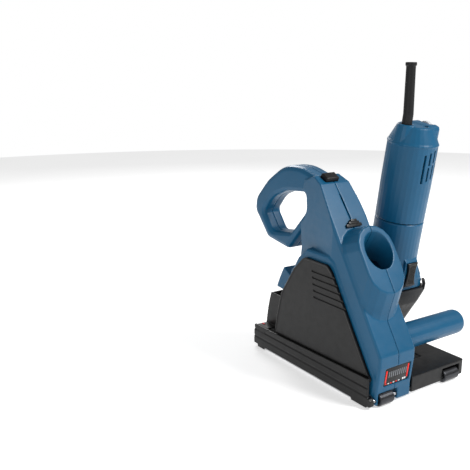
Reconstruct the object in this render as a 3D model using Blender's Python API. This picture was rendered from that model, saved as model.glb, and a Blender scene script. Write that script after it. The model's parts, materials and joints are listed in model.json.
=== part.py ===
"""Wall chaser: a plunging twin-disc masonry cutter with a suction hood, a rolling base and a
bevel-gear motor.  Sizes are millimetres in the design frame and become metres in the meshes.
The design frame has X = 0 on the hood's parting plane (+X towards the motor), Y = 0 at the front
end of the base (+Y to the back) and Z = 0 on the work surface."""
import math

import bmesh
import bpy
from mathutils import Matrix, Vector

MM = 0.001

# The part's origin, at the middle of its footprint, in the design frame.
ORIGIN = (62.5, 144.5, 0.0)

# Base.
LEFT_OUT = -46.0
LEFT_IN = -37.2
RIGHT_IN = 34.4
RIGHT_OUT = 145.0
BASE_FRONT = -7.0
BASE_BACK = 260.0
BASE_BOTTOM = 5.0
WING_TOP = 27.7
DECK_TOP = 36.0
LEDGE_TOP_FRONT = 43.0
LEDGE_TOP_BACK = 37.0
WALL = 3.0
SOLE_BOTTOM = 3.1
SOLE_TOP = 4.7
FOOT_BOTTOM = 1.2
DECK_FRONT = 232.0
COVER_SCREW_YS = (40.0, 190.0)
COVER_SCREW_Z = 24.0

# Plunge hinge, which is also the front roller axle, and the arcs struck from it.
PIVOT_Y = -2.0
PIVOT_Z = 9.5
TOWER_RADIUS_IN = 234.0
TOWER_RADIUS_OUT = 262.5
BLOCK_RADIUS_OUT = 257.0
TOWER_TOP = 91.0
TOWER_HALF = 21.5
BLOCK_HALF = 18.0

# Plunge spring.
SPRING_Y = 233.4
SPRING_LOW = 10.2
SPRING_HIGH = 98.0
SPRING_RADIUS = 8.0
WIRE_RADIUS = 1.1

# Rollers.
ROLLER_RADIUS = 9.5
AXLE_RADIUS = 3.0
RUNNING_GAP = 0.35
REAR_ROLLER_Y = 245.0

# Hood.
HOOD_LEFT = -35.4
DRUM_LEFT = -36.7
HOOD_RIGHT = 33.0
SHELL = 3.0
PARTING_GAP = 0.15
HANDLE_HALF = 18.0
SLOPE_FOOT = (13.0, 112.4)
SLOPE_ANGLE = math.radians(57.9)
BROW = (136.0, 293.0)
BROW_ANGLE = math.radians(30.0)
FACE_LEAN = math.radians(7.0)
BOSS_HEIGHT = 31.0
OUTLET_RADIUS = 23.5
OUTLET_ANGLE = math.radians(63.0)

# Spindle and discs.
SPINDLE_Y = 123.0
SPINDLE_Z = 85.0
DISC_RADIUS = 75.0
DISC_BORE = 11.4
SEGMENTS = 9
HUB_RADIUS = 11.0

# Motor, on an axis that crosses the spindle's.
MOTOR_X = 109.0
MOTOR_TILT = math.radians(8.5)
MOTOR_RADIUS = 36.5
COLLAR_HALF = 39.5
COLLAR_POWER = 6
FLANGE_HALF = 43.0
GEAR_SCREW = 32.0
SWITCH_S = 65.0
SLEEVE_X = -19.5
FAN_BLADES = 7
PINION_TEETH = 8
CROWN_TEETH = 24
PINION_PITCH = 7.0
CROWN_PITCH = 21.0

# Spindle lock, on the gear housing's back.
LOCK_X = 92.0

# Auxiliary handle.
GRIP_Y = 31.3
GRIP_Z = 70.3
GRIP_RADIUS = 19.0
GRIP_END = 171.0

COLOURS = {
    "blue_plastic": ((0.018, 0.115, 0.205), 0.45, 0.0),
    "black_plastic": ((0.012, 0.012, 0.013), 0.5, 0.0),
    "cast_metal": ((0.02, 0.02, 0.022), 0.45, 0.3),
    "steel": ((0.55, 0.55, 0.56), 0.3, 1.0),
    "dark_steel": ((0.12, 0.12, 0.125), 0.35, 0.9),
    "sheet_steel": ((0.6, 0.6, 0.6), 0.35, 1.0),
    "rubber": ((0.015, 0.015, 0.015), 0.7, 0.0),
    "red_plastic": ((0.65, 0.02, 0.015), 0.4, 0.0),
    "grey_plastic": ((0.55, 0.56, 0.56), 0.45, 0.0),
    "laminated_iron": ((0.25, 0.25, 0.26), 0.5, 0.8),
    "copper": ((0.7, 0.32, 0.16), 0.35, 1.0),
    "carbon": ((0.03, 0.03, 0.03), 0.8, 0.0),
    "diamond_disc": ((0.42, 0.43, 0.44), 0.35, 0.9),
}


# ---------------------------------------------------------------- scene and materials

def clear_scene():
    for item in list(bpy.data.objects):
        bpy.data.objects.remove(item, do_unlink=True)


def make_materials():
    made = {}
    for name, (colour, roughness, metallic) in COLOURS.items():
        material = bpy.data.materials.new(name)
        material.use_nodes = True
        shader = material.node_tree.nodes["Principled BSDF"]
        shader.inputs["Base Color"].default_value = (*colour, 1.0)
        shader.inputs["Roughness"].default_value = roughness
        shader.inputs["Metallic"].default_value = metallic
        made[name] = material
    return made


def make_frame(name, parent, place, tilt=0.0):
    """An empty that carries pieces; place is in its parent's own millimetres."""
    empty = bpy.data.objects.new(name, None)
    bpy.context.scene.collection.objects.link(empty)
    empty.parent = parent
    empty.location = Vector(place) * MM
    empty.rotation_euler = (tilt, 0.0, 0.0)
    return empty


def place_mesh(name, shape, frame, pivot):
    """Turn a millimetre bmesh into an object in frame, with its origin at pivot."""
    bmesh.ops.recalc_face_normals(shape, faces=shape.faces)
    to_local = Matrix.Scale(MM, 4) @ Matrix.Translation(-Vector(pivot))
    bmesh.ops.transform(shape, matrix=to_local, verts=shape.verts)
    mesh = bpy.data.meshes.new(name)
    shape.to_mesh(mesh)
    shape.free()
    item = bpy.data.objects.new(name, mesh)
    bpy.context.scene.collection.objects.link(item)
    item.parent = frame
    item.location = Vector(pivot) * MM
    return item


def add_piece(name, shape, frame, material, pivot=(0.0, 0.0, 0.0)):
    item = place_mesh(name, shape, frame, pivot)
    item.data.materials.append(MATERIALS[material])
    item.data.shade_smooth()
    item.data.set_sharp_from_angle(angle=math.radians(32))
    return item


def add_tool(name, shape, frame):
    """A solid that only shapes its neighbours."""
    item = place_mesh(name, shape, frame, (0.0, 0.0, 0.0))
    item.hide_render = True
    item.display_type = "WIRE"
    return item


def combine(item, operation, tools):
    for tool in tools:
        step = item.modifiers.new(tool.name, "BOOLEAN")
        step.operation = operation
        step.solver = "EXACT"
        step.object = tool


# ---------------------------------------------------------------- outlines

def corner_arc(before, corner, after, radius, steps):
    here = Vector(corner)
    to_before = (Vector(before) - here).normalized()
    to_after = (Vector(after) - here).normalized()
    half = to_before.angle(to_after) / 2
    reach = radius / math.tan(half)
    centre = here + (to_before + to_after).normalized() * (radius / math.sin(half))
    start = here + to_before * reach - centre
    end = here + to_after * reach - centre
    turn = start.angle_signed(end)
    points = []
    for step in range(steps + 1):
        angle = -turn * step / steps
        points.append((centre.x + start.x * math.cos(angle) - start.y * math.sin(angle),
                       centre.y + start.x * math.sin(angle) + start.y * math.cos(angle)))
    return points


def rounded(corners, steps=4):
    """A closed outline from (a, b) corners, or (a, b, radius) where a corner is rounded."""
    outline = []
    for index, corner in enumerate(corners):
        if len(corner) == 2:
            outline.append(corner)
            continue
        before = corners[index - 1][:2]
        after = corners[(index + 1) % len(corners)][:2]
        outline += corner_arc(before, corner[:2], after, corner[2], steps)
    return outline


def arc(centre, radius, start, end, steps):
    """Points on an arc; angles in degrees from the first axis."""
    points = []
    for step in range(steps + 1):
        angle = math.radians(start + (end - start) * step / steps)
        points.append((centre[0] + radius * math.cos(angle), centre[1] + radius * math.sin(angle)))
    return points


def ring_points(centre, radius, count, phase=0.0):
    angles = [phase + math.tau * step / count for step in range(count)]
    return [(centre[0] + radius * math.cos(angle), centre[1] + radius * math.sin(angle)) for angle in angles]


def superellipse(half, power, count):
    """A circle for power 2, and a square with ever tighter corners above it."""
    outline = []
    for step in range(count):
        angle = math.tau * step / count
        reach = (abs(math.cos(angle)) ** power + abs(math.sin(angle)) ** power) ** (-1.0 / power)
        outline.append((half * reach * math.cos(angle), half * reach * math.sin(angle)))
    return outline


def signed_area(outline):
    total = 0.0
    for index, (a, b) in enumerate(outline):
        c, d = outline[(index + 1) % len(outline)]
        total += a * d - b * c
    return total / 2


def inset(outline, distance):
    """The outline moved inwards by distance, with sharp corners."""
    side = 1.0 if signed_area(outline) > 0 else -1.0
    moved = []
    count = len(outline)
    for index in range(count):
        here = Vector(outline[index])
        back = (here - Vector(outline[index - 1])).normalized()
        ahead = (Vector(outline[(index + 1) % count]) - here).normalized()
        normal_back = Vector((-back.y, back.x)) * side
        normal_ahead = Vector((-ahead.y, ahead.x)) * side
        middle = (normal_back + normal_ahead).normalized()
        moved.append(tuple(here + middle * (distance / max(0.35, middle.dot(normal_back)))))
    return moved


def shrunk(corners, distance):
    """Corners of a rounded outline moved inwards, with their radii changed to suit."""
    flat = [corner[:2] for corner in corners]
    side = 1.0 if signed_area(flat) > 0 else -1.0
    moved = []
    for index, place in enumerate(inset(flat, distance)):
        before = Vector(flat[index]) - Vector(flat[index - 1])
        after = Vector(flat[(index + 1) % len(flat)]) - Vector(flat[index])
        bulge = 1.0 if (before.x * after.y - before.y * after.x) * side > 0 else -1.0
        radius = corners[index][2] if len(corners[index]) == 3 else 0.0
        moved.append((*place, max(0.6, radius - bulge * distance)) if radius else place)
    return moved


def stadium(half_width, low, high, steps=8):
    """A slot outline: width along the first axis, round ends at low and high of the second."""
    top = arc((0.0, high - half_width), half_width, 0, 180, steps)
    bottom = arc((0.0, low + half_width), half_width, 180, 360, steps)
    return top + bottom


# ---------------------------------------------------------------- solids

def lift(axis, a, b, height):
    """A point from outline coordinates and a height along the named axis."""
    if axis == "x":
        return (height, a, b)
    if axis == "y":
        return (a, height, b)
    return (a, b, height)


def loft(loops):
    """A closed solid through loops of equal point count, capped at both ends."""
    shape = bmesh.new()
    rows = [[shape.verts.new(point) for point in loop] for loop in loops]
    shape.faces.new(rows[0])
    shape.faces.new(list(reversed(rows[-1])))
    for low, high in zip(rows, rows[1:]):
        for index in range(len(low)):
            following = (index + 1) % len(low)
            shape.faces.new((low[index], high[index], high[following], low[following]))
    return shape


def prism(axis, outline, low, high):
    return loft([[lift(axis, a, b, height) for a, b in outline] for height in (low, high)])


def chamfered(axis, outline, low, high, chamfer, depth=None):
    """A prism whose far edge, at high, is chamfered inwards."""
    shift = depth or chamfer
    shoulder = high - math.copysign(shift, high - low)
    smaller = inset(outline, chamfer)
    loops = [(outline, low), (outline, shoulder), (smaller, high)]
    return loft([[lift(axis, a, b, height) for a, b in loop] for loop, height in loops])


def box(low, high):
    outline = [(low[0], low[1]), (high[0], low[1]), (high[0], high[1]), (low[0], high[1])]
    return prism("z", outline, low[2], high[2])


def turned(axis, centre, profile, count, phase=0.0):
    """A solid of revolution from (radius, height) points; radius 0 closes it on the axis."""
    shape = bmesh.new()
    rows = []
    for radius, height in profile:
        if radius == 0:
            rows.append([shape.verts.new(lift(axis, centre[0], centre[1], height))])
        else:
            rows.append([shape.verts.new(lift(axis, a, b, height))
                         for a, b in ring_points(centre, radius, count, phase)])
    closed = profile[0][0] > 0
    pairs = list(zip(rows, rows[1:])) + ([(rows[-1], rows[0])] if closed else [])
    for low, high in pairs:
        for index in range(count):
            following = (index + 1) % count
            corners = [low[index % len(low)], high[index % len(high)],
                       high[following % len(high)], low[following % len(low)]]
            unique = list(dict.fromkeys(corners))
            shape.faces.new(unique)
    return shape


def cylinder(axis, centre, radius, low, high, count=24, phase=0.0):
    return turned(axis, centre, [(0, low), (radius, low), (radius, high), (0, high)], count, phase)


def tube(axis, centre, inner, outer, low, high, count=32):
    profile = [(inner, low), (outer, low), (outer, high), (inner, high)]
    return turned(axis, centre, profile, count)


def merge(shapes):
    """Several closed shapes in one bmesh, for tools that cut or join in several places."""
    whole = bmesh.new()
    for shape in shapes:
        mesh = bpy.data.meshes.new("merge")
        shape.to_mesh(mesh)
        shape.free()
        whole.from_mesh(mesh)
        bpy.data.meshes.remove(mesh)
    return whole


def half_space(point, normal, size=600.0):
    """A large block on the side of a plane that normal points to."""
    direction = Vector(normal).normalized()
    turn = direction.to_track_quat("Z", "Y").to_matrix().to_4x4()
    shape = box((-size, -size, 0.0), (size, size, size))
    bmesh.ops.transform(shape, matrix=Matrix.Translation(point) @ turn, verts=shape.verts)
    return shape


def ramp_point(foot, angle, x, along, out):
    """A point along a ramp that rises from foot to the back, at a height off the ramp."""
    y = foot[0] + along * math.cos(angle) - out * math.sin(angle)
    z = foot[1] + along * math.sin(angle) + out * math.cos(angle)
    return (x, y, z)


def slope_point(x, along, out):
    return ramp_point(SLOPE_FOOT, SLOPE_ANGLE, x, along, out)


def brow_point(x, along, out):
    return ramp_point(BROW, BROW_ANGLE, x, along, out)


def slope_prism(outline, low, high):
    """A prism on the sloping front: outline in (x, along), height off the slope."""
    return loft([[slope_point(x, along, out) for x, along in outline] for out in (low, high)])


def slope_box(half_width, start, end, low, high, middle=0.0):
    outline = [(middle - half_width, start), (middle + half_width, start),
               (middle + half_width, end), (middle - half_width, end)]
    return slope_prism(outline, low, high)


def pivot_arc(radius, z_low, z_high, steps):
    """Points of a circle about the plunge hinge between two heights."""
    start = math.degrees(math.asin((z_low - PIVOT_Z) / radius))
    end = math.degrees(math.asin((z_high - PIVOT_Z) / radius))
    return arc((PIVOT_Y, PIVOT_Z), radius, start, end, steps)


# ---------------------------------------------------------------- base

WING_OPENING = [(37.4, 34.0), (100.0, 34.0), (100.0, 74.0), (130.0, 90.0), (130.0, 208.0), (37.4, 208.0)]
ROLLER_BAY = (95.0, 138.0)
ROLLER_SPAN = (101.0, 131.0)
REAR_LEFT_SPAN = (-39.0, -25.0)


def base_outline():
    return rounded([(RIGHT_IN, BASE_FRONT), (RIGHT_OUT, BASE_FRONT, 4), (RIGHT_OUT, 258.0, 10),
                    (-38.0, 258.0), (-38.0, DECK_FRONT), (RIGHT_IN, DECK_FRONT)])


def left_rail():
    """Three stepped bands, highest at the front."""
    section = [(LEFT_OUT, BASE_BOTTOM), (LEFT_OUT, 16.0), (-45.0, 17.0), (-45.0, 19.0), (-45.6, 20.0),
               (-45.6, 28.0), (-44.4, 29.0), (-44.4, 31.0), (-45.0, 32.0), (-45.0, 44.0),
               (-40.9, 44.0), (-40.9, 9.0), (LEFT_IN - 0.4, 9.0), (LEFT_IN - 0.4, BASE_BOTTOM)]
    return prism("y", section, 0.0, BASE_BACK)


def rail_nose():
    """The rail's front end, which holds the pivot axle."""
    outline = [(-6.8, 5.0), (-5.0, 3.5), (4.0, 3.5), (4.0, 15.4), (-3.6, 15.4), (-6.8, 12.4)]
    return prism("x", outline, LEFT_OUT + 0.3, LEFT_IN - 0.6)


def rear_deck():
    outline = rounded([(-45.0, DECK_FRONT), (-20.0, DECK_FRONT), (-20.0, 258.0), (-45.0, BASE_BACK, 8)])
    return prism("z", outline, BASE_BOTTOM, DECK_TOP)


def tower():
    """A spring tower whose walls follow arcs about the plunge hinge, open at the top and front."""
    outside = pivot_arc(TOWER_RADIUS_OUT, BASE_BOTTOM, TOWER_TOP, 6)
    inside = pivot_arc(TOWER_RADIUS_IN, BASE_BOTTOM, TOWER_TOP, 6)
    return prism("x", outside + inside[::-1], -TOWER_HALF, TOWER_HALF)


def tower_well():
    outside = pivot_arc(TOWER_RADIUS_OUT - 4.0, 9.0, TOWER_TOP + 9.0, 6)
    inside = pivot_arc(TOWER_RADIUS_IN - 9.0, 9.0, TOWER_TOP + 9.0, 6)
    return prism("x", outside + inside[::-1], -TOWER_HALF + 2.4, TOWER_HALF - 2.4)


def right_guard():
    """A raised wall beside the discs, behind the gear neck."""
    outline = [(184.0, BASE_BOTTOM), (DECK_FRONT + 2, BASE_BOTTOM), (DECK_FRONT + 2, 27.0), (214.0, 50.0),
               (190.0, 50.0)]
    return prism("x", outline, RIGHT_IN, RIGHT_IN + WALL)


def neck_notch():
    """The gap in the wing's inner edge that the gear neck plunges into."""
    outline = [(104.0, 10.0), (178.0, 10.0), (178.0, 60.0), (96.0, 60.0), (96.0, 24.0)]
    return prism("x", outline, RIGHT_IN - 2, RIGHT_IN + WALL + 2)


def wing_pockets():
    """Hollows under the wing, open at the bottom, with ribs left between them."""
    top = WING_TOP - WALL
    bays = [((37.4, -4.0), (93.0, 31.0)), ((103.0, 34.0), (142.0, 72.0)), ((133.0, 92.0), (142.0, 205.0)),
            ((37.4, 211.0), (96.0, 255.0)), ((-34.0, DECK_FRONT + 3), (-24.5, 240.0))]
    return merge([box((*low, 0.0), (*high, top)) for low, high in bays])


def roller_bays():
    """Wheel wells, open at the bottom; the front one is open forwards too."""
    front = box((ROLLER_BAY[0] + 3, -20.0, -5.0), (ROLLER_BAY[1] - 3, 12.0, 23.0))
    rear_right = box((98.0, 234.0, -5.0), (134.0, 256.0, 23.0))
    rear_left = box((REAR_LEFT_SPAN[0] - 1.5, 234.0, -5.0), (REAR_LEFT_SPAN[1] + 1.5, 256.0, 24.0))
    return merge([front, rear_right, rear_left])


def axle_holes():
    radius = AXLE_RADIUS + RUNNING_GAP
    return merge([cylinder("x", (PIVOT_Y, PIVOT_Z), radius, -44.5, 44.0, 20),
                  cylinder("x", (PIVOT_Y, PIVOT_Z), radius, 94.5, 138.5, 20),
                  cylinder("x", (REAR_ROLLER_Y, PIVOT_Z), radius, 94.5, 138.5, 20),
                  cylinder("x", (REAR_ROLLER_Y, PIVOT_Z), radius, -43.5, -21.5, 20)])


def build_base():
    base = add_piece("base_frame", prism("z", base_outline(), BASE_BOTTOM, WING_TOP), BASE, "black_plastic")
    joins = [add_tool("left_rail_shape", left_rail(), BASE), add_tool("rear_deck_shape", rear_deck(), BASE),
             add_tool("tower_shape", tower(), BASE), add_tool("right_guard_shape", right_guard(), BASE)]
    feet = [box((LEFT_OUT, low, FOOT_BOTTOM), (-41.5, high, BASE_BOTTOM + 2)) for low, high in
            ((1.0, 30.0), (232.0, 250.0))]
    joins.append(add_tool("feet_shape", merge(feet), BASE))
    joins.append(add_tool("rail_nose_shape", rail_nose(), BASE))
    combine(base, "UNION", joins)
    lean = (LEDGE_TOP_FRONT - LEDGE_TOP_BACK) / BASE_BACK
    over_rail = merge([prism("x", [(-9.0, LEDGE_TOP_FRONT + 9 * lean), (300.0, LEDGE_TOP_FRONT - 300 * lean),
                                   (300.0, 60.0), (-9.0, 60.0)], -50.0, -40.0)])
    cuts = [add_tool("rail_top_cut", over_rail, BASE), add_tool("tower_well", tower_well(), BASE),
            add_tool("wing_opening", prism("z", WING_OPENING, -5.0, 60.0), BASE),
            add_tool("wing_pockets", wing_pockets(), BASE), add_tool("roller_bays", roller_bays(), BASE),
            add_tool("axle_holes", axle_holes(), BASE), add_tool("neck_notch", neck_notch(), BASE)]
    combine(base, "DIFFERENCE", cuts)


def cover_outline():
    """The side cover's triangle: long front slope, short top, rear edge round the disc."""
    return rounded([(1.0, 37.0), (1.0, 42.0), (5.0, 47.0, 4), (84.0, 170.0, 10), (93.0, 177.5, 8),
                    (143.0, 178.0, 14), (166.0, 155.0, 20), (196.0, 108.0, 40), (206.0, 66.0, 60),
                    (211.0, 37.0)], 5)


def cover_grooves():
    """Louvre grooves across the cover's upper part."""
    bars = []
    for index in range(5):
        z = 160.0 - 9.5 * index
        bars.append(box((-50.0, 72.0 - 5.6 * index, z), (-39.1, 126.0 - 1.5 * index, z + 3.0)))
    return merge(bars)


def build_cover():
    plate = merge([prism("x", cover_outline(), -40.5, LEFT_IN)])
    cover = add_piece("side_cover", plate, BASE, "black_plastic")
    tongue = add_tool("cover_tongue", box((-40.5, 4.0, 9.4), (LEFT_IN, 206.0, 45.0)), BASE)
    rim_outside = prism("x", cover_outline(), -41.4, -39.0)
    rim_inside = prism("x", inset(cover_outline(), 2.6), -60.0, -30.0)
    rim = add_tool("cover_rim", rim_outside, BASE)
    combine(rim, "DIFFERENCE", [add_tool("cover_rim_field", rim_inside, BASE),
                                add_tool("cover_rim_foot", box((-50, -20, 20), (-30, 230, 44.5)), BASE)])
    combine(cover, "UNION", [tongue, rim])
    step = [(0, -60.0), (2.4, -60.0), (2.4, -38.6), (4.0, -38.6), (4.0, -30.0), (0, -30.0)]
    holes = [turned("x", (y, COVER_SCREW_Z), step, 12) for y in COVER_SCREW_YS]
    combine(cover, "DIFFERENCE", [add_tool("cover_grooves", cover_grooves(), BASE),
                                  add_tool("cover_screw_holes", merge(holes), BASE)])


def build_cover_screws():
    """Countersunk screws whose heads stay below the cover's inner face."""
    profile = [(0, -40.6), (2.0, -40.6), (2.0, -38.2), (3.6, -38.2), (3.6, LEFT_IN - 0.1), (0, LEFT_IN - 0.1)]
    for name, y in zip(("cover_screw_front", "cover_screw_rear"), COVER_SCREW_YS):
        add_piece(name, turned("x", (y, COVER_SCREW_Z), profile, 12), BASE, "steel")


def build_sole():
    """The sheet-steel sole, slotted for the discs and cut away at the rollers."""
    outline = rounded([(-40.9, 31.0), (-45.4, 31.0), (-45.4, 231.0), (-40.9, 231.0), (-40.9, 257.0),
                       (144.2, 257.0, 8), (144.2, -4.5, 3), (35.0, -4.5)])
    sole = add_piece("sole_plate", prism("z", outline, SOLE_BOTTOM, SOLE_TOP), BASE, "sheet_steel")
    inner_opening = [(40.0, 36.5), (98.0, 36.5), (98.0, 76.0), (128.0, 92.0), (128.0, 206.0), (40.0, 206.0)]
    cuts = [prism("z", inner_opening, 0.0, 10.0), box((-17.0, 20.0, 0.0), (26.0, 230.5, 10.0)),
            box((-39.0, -20.0, 0.0), (36.6, 26.0, 10.0)), box((97.0, -20.0, 0.0), (136.0, 13.0, 10.0)),
            box((97.0, 232.0, 0.0), (135.0, 256.5, 10.0)), box((-40.5, 232.0, 0.0), (-23.0, 256.5, 10.0))]
    tools = [add_tool("sole_cut_%d" % index, cut, BASE) for index, cut in enumerate(cuts)]
    combine(sole, "DIFFERENCE", tools)


def build_cut_mark():
    outline = [(-33.0, 250.0), (-30.0, 250.0), (-30.0, 256.5), (-33.0, 256.5)]
    add_piece("rear_cut_mark", prism("z", outline, DECK_TOP + 0.3, DECK_TOP + 1.1), BASE, "red_plastic")


def build_spring():
    """A compression spring in the tower, between its floor and the hood's block."""
    turns = 6
    per_turn = 10
    steps = turns * per_turn
    up = Vector((0.0, 0.0, 1.0))
    coil = bmesh.new()
    rows = []
    for step in range(steps + 1):
        angle = math.tau * step / per_turn
        out = Vector((math.cos(angle), math.sin(angle), 0.0))
        height = SPRING_LOW + (SPRING_HIGH - SPRING_LOW) * step / steps
        centre = Vector((0.0, SPRING_Y, height)) + out * SPRING_RADIUS
        section = [out, up, -out, -up]
        rows.append([coil.verts.new(centre + side * WIRE_RADIUS) for side in section])
    coil.faces.new(rows[0])
    coil.faces.new(list(reversed(rows[-1])))
    for first, second in zip(rows, rows[1:]):
        for side in range(4):
            following = (side + 1) % 4
            coil.faces.new((first[side], second[side], second[following], first[following]))
    add_piece("plunge_spring", coil, BASE, "steel", (0.0, SPRING_Y, SPRING_LOW))


def build_rollers():
    places = [("front_left_roller", (-29.0, -3.0), PIVOT_Y), ("front_right_roller", ROLLER_SPAN, PIVOT_Y),
              ("rear_left_roller", REAR_LEFT_SPAN, REAR_ROLLER_Y),
              ("rear_right_roller", ROLLER_SPAN, REAR_ROLLER_Y)]
    for name, (low, high), y in places:
        inner = AXLE_RADIUS + RUNNING_GAP
        profile = [(inner, low), (ROLLER_RADIUS - 1, low), (ROLLER_RADIUS, low + 1),
                   (ROLLER_RADIUS, high - 1), (ROLLER_RADIUS - 1, high), (inner, high)]
        middle = ((low + high) / 2, y, PIVOT_Z)
        add_piece(name, turned("x", (y, PIVOT_Z), profile, 20), BASE, "dark_steel", middle)


def build_axles():
    spans = [("pivot_axle", (-44.2, 43.5), PIVOT_Y),
             ("front_right_axle", (95.0, 138.0), PIVOT_Y),
             ("rear_left_axle", (-43.2, -22.0), REAR_ROLLER_Y),
             ("rear_right_axle", (95.0, 138.0), REAR_ROLLER_Y)]
    for name, (low, high), y in spans:
        profile = [(0, low), (AXLE_RADIUS - 0.5, low), (AXLE_RADIUS, low + 0.5), (AXLE_RADIUS, high - 0.5),
                   (AXLE_RADIUS - 0.5, high), (0, high)]
        add_piece(name, turned("x", (y, PIVOT_Z), profile, 16), BASE, "steel")


# ---------------------------------------------------------------- hood

def body_outline():
    """Front face, sloping back, handle root, neck and the line round the disc."""
    return [(-6.5, 3.0), (-6.5, 22.0), (-11.0, 59.0), (-11.0, 73.0), (-9.3, 77.0), (94.6, 242.4),
            (127.5, 285.5), (146.0, 295.0), (172.0, 285.0), (178.0, 264.0), (170.0, 240.0), (181.0, 212.0),
            (176.0, 184.0), (181.0, 143.0), (194.0, 122.0), (202.3, 100.0), (203.8, 87.0),
            (30.0, 21.5), (12.0, 7.0), (4.0, 3.0)]


def drum_outline():
    return [(-5.6, 38.0), (1.0, 52.0), (16.0, 74.0), (76.0, 172.0), (84.0, 184.0), (95.0, 190.0),
            (143.0, 190.0), (163.0, 172.0), (180.0, 143.0), (194.0, 122.0), (202.3, 100.0), (203.8, 87.0),
            (30.0, 21.5), (12.0, 14.0), (-2.0, 14.0)]


# The outside of the D handle, its root inside the neck, and the finger gap.
HANDLE_CORNERS = [(122.0, 268.0), (131.0, 289.0, 12), (186.0, 303.2, 80), (226.0, 301.5, 70),
                  (268.0, 273.5, 80), (300.5, 239.0, 30), (300.5, 218.0, 14), (266.0, 179.0, 12),
                  (212.5, 171.0, 8), (176.0, 214.0), (150.0, 240.0)]
GAP_CORNERS = [(173.5, 266.5, 9), (222.0, 261.5, 60), (256.0, 246.5, 50), (276.5, 220.5, 8),
               (254.0, 191.5, 13), (206.0, 198.5, 7), (169.0, 240.0, 22)]


def handle_ring():
    """The D handle, its long edges rounded."""
    layers = [(7.0, -HANDLE_HALF), (2.0, -HANDLE_HALF + 2.2), (0.0, -HANDLE_HALF + 7.0),
              (0.0, HANDLE_HALF - 7.0), (2.0, HANDLE_HALF - 2.2), (7.0, HANDLE_HALF)]
    return loft([[lift("x", a, b, x) for a, b in rounded(shrunk(HANDLE_CORNERS, depth), 5)]
                 for depth, x in layers])


def aperture_tool():
    """The finger gap, flared at both faces."""
    layers = [(-6.0, -HANDLE_HALF - 0.1), (-1.6, -HANDLE_HALF + 2.2), (0.0, -HANDLE_HALF + 6.0),
              (0.0, HANDLE_HALF - 6.0), (-1.6, HANDLE_HALF - 2.2), (-6.0, HANDLE_HALF + 0.1)]
    layers = [(-6.0, -60.0)] + layers + [(-6.0, 60.0)]
    return loft([[lift("x", a, b, x) for a, b in rounded(shrunk(GAP_CORNERS, depth), 5)]
                 for depth, x in layers])


def taper_tool(side):
    """The wedge removed from one side so that the neck narrows to the handle's width."""
    edge = Vector((side * 27.5, 127.0, 284.0))
    brow = Vector((side * 35.6, 88.0, 232.0))
    grip = Vector((side * 18.0, 178.0, 250.0))
    normal = (brow - edge).cross(grip - edge)
    if normal.x * side < 0:
        normal = -normal
    wedge = half_space(edge, normal, 300.0)
    keep = side * HANDLE_HALF
    geometry = wedge.verts[:] + wedge.edges[:] + wedge.faces[:]
    bmesh.ops.bisect_plane(wedge, geom=geometry, plane_co=(keep, 0, 0), plane_no=(side, 0, 0),
                           clear_inner=True)
    bmesh.ops.holes_fill(wedge, edges=wedge.edges)
    geometry = wedge.verts[:] + wedge.edges[:] + wedge.faces[:]
    bmesh.ops.bisect_plane(wedge, geom=geometry, plane_co=(0, 0, 150.0), plane_no=(0, 0, 1),
                           clear_inner=True)
    bmesh.ops.holes_fill(wedge, edges=wedge.edges)
    return wedge


def outlet_boss():
    """The dust outlet's stadium-shaped boss on the sloping front."""
    layers = [(-5.0, 33.4, 0.0, 135.0), (0.0, 33.4, 0.0, 135.0), (5.0, 32.6, 6.0, 133.5),
              (BOSS_HEIGHT - 1.5, 32.0, 28.4, 128.4), (BOSS_HEIGHT, 30.8, 30.4, 126.8)]
    return loft([[slope_point(x - 0.8, along, out) for x, along in stadium(half, low, high, 8)]
                 for out, half, low, high in layers])


def outlet_bore():
    """The round duct from the boss face into the disc chamber."""
    middle = Vector(slope_point(0.0, 92.0, BOSS_HEIGHT))
    outwards = Vector((0.0, -math.cos(OUTLET_ANGLE), math.sin(OUTLET_ANGLE)))
    turn = outwards.to_track_quat("Z", "Y").to_matrix().to_4x4()
    duct = cylinder("z", (0.0, 0.0), OUTLET_RADIUS, -72.0, 40.0, 28, math.tau / 56)
    bmesh.ops.transform(duct, matrix=Matrix.Translation(middle) @ turn, verts=duct.verts)
    return duct


def rear_block():
    """The hood's rear end, which slides down inside the tower."""
    low = 21.5
    high = 30.6
    outside = arc((PIVOT_Y, PIVOT_Z), BLOCK_RADIUS_OUT, low, high, 4)
    inside = arc((PIVOT_Y, PIVOT_Z), 218.0, low + 3.0, high, 3)
    return prism("x", outside + inside[::-1], -BLOCK_HALF, BLOCK_HALF)


def chamber():
    """The disc chamber, open at the bottom."""
    outline = [(8.0, -20.0), (8.0, 14.0), (0.5, 22.0), (-7.7, 60.0), (-7.7, 72.4), (60.0, 181.0),
               (96.0, 187.0), (141.0, 187.0), (160.0, 170.0), (177.0, 142.0), (190.6, 121.0),
               (199.0, 99.0), (200.7, 84.0), (230.0, 60.0), (230.0, -20.0)]
    return prism("x", outline, HOOD_LEFT + SHELL, HOOD_RIGHT - SHELL)


def neck_room():
    """The hollow above the disc chamber."""
    outline = [(78.0, 193.0), (104.0, 238.0), (131.0, 277.0), (146.0, 287.0), (165.0, 282.0), (171.0, 264.0),
               (163.0, 240.0), (173.0, 214.0), (168.0, 193.0)]
    return prism("x", outline, -13.5, 13.5)


def handle_room(name):
    """The hollow inside the D handle, all round the finger gap."""
    room = add_tool(name, prism("x", rounded(shrunk(HANDLE_CORNERS, 5.0), 2), -12.0, 12.0), HOOD)
    gap = prism("x", rounded(shrunk(GAP_CORNERS, -5.0), 2), -20.0, 20.0)
    combine(room, "DIFFERENCE", [add_tool(name + "_gap", gap, HOOD)])
    return room


def hood_screw_places():
    return [(288.5, 224.0), (152.0, 282.0), (3.0, 83.0), (157.0, 203.0)]


def screw_posts():
    """Bosses that the shell screws run through, one behind each screw."""
    return merge([cylinder("x", place, 5.2, -16.0, 16.0, 10, 0.1) for place in hood_screw_places()])


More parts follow.
